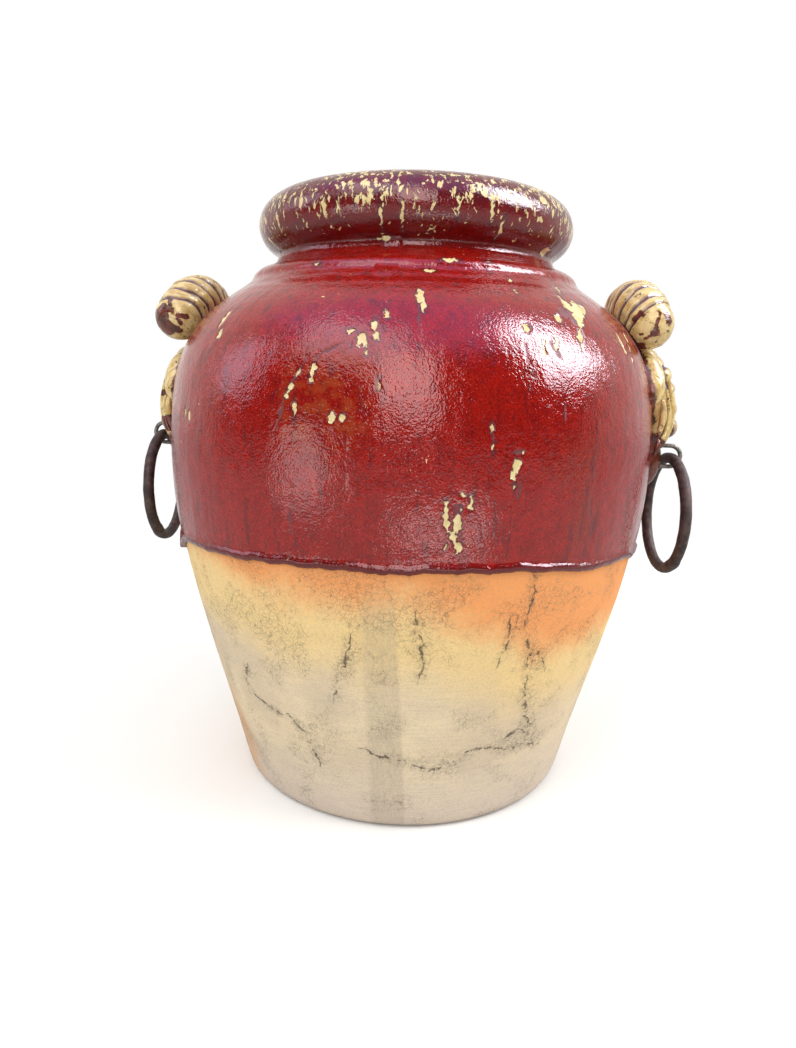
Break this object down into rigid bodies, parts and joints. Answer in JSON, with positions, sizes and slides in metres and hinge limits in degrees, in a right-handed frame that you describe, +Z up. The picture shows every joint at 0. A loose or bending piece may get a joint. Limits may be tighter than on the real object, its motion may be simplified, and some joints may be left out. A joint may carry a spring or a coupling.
{
  "type": "garden urn",
  "caption": "Round terracotta urn with a rolled rim, a red glaze coat over a bare foot, ribbed scroll ornaments, leaf reliefs and swinging iron rings.",
  "frame": {"origin": "centre of the underside, on the surface that the urn stands on", "axes": "+Z up along the pot's axis; the two ring ornaments lie on +X and -X; -Y is the front, where the glaze ends highest"},
  "size_m": [0.3955, 0.34, 0.4057],
  "materials": {
    "bare_clay": "matte fired clay, orange under the glaze and buff below",
    "red_glaze": "glossy oxblood glaze with cream breaks",
    "cream_glaze": "glossy cream glaze, plum in the grooves",
    "ring_iron": "matte dark forged iron with a little rust",
    "eye_wire": "dull grey wire"
  },
  "bodies": {
    "urn": {"urn_body": "bare_clay", "glaze_coat": "red_glaze", "scroll_right": "cream_glaze", "scroll_left": "cream_glaze", "leaf_right": "cream_glaze", "leaf_left": "cream_glaze", "ring_eye_right": "eye_wire", "ring_eye_left": "eye_wire"},
    "right_ring": {"ring_right": "ring_iron"},
    "left_ring": {"ring_left": "ring_iron"}
  },
  "joints": [
    {"name": "right_ring_swing", "type": "hinge", "parent": "urn", "child": "right_ring", "pos_m": [0.18898, 0, 0.23463], "axis": [0.0872, -0.9962, 0], "range_deg": [-15, 190]},
    {"name": "left_ring_swing", "type": "hinge", "parent": "urn", "child": "left_ring", "pos_m": [-0.19051, 0, 0.23963], "axis": [-0.0872, 0.9962, 0], "range_deg": [-15, 190]}
  ]
}
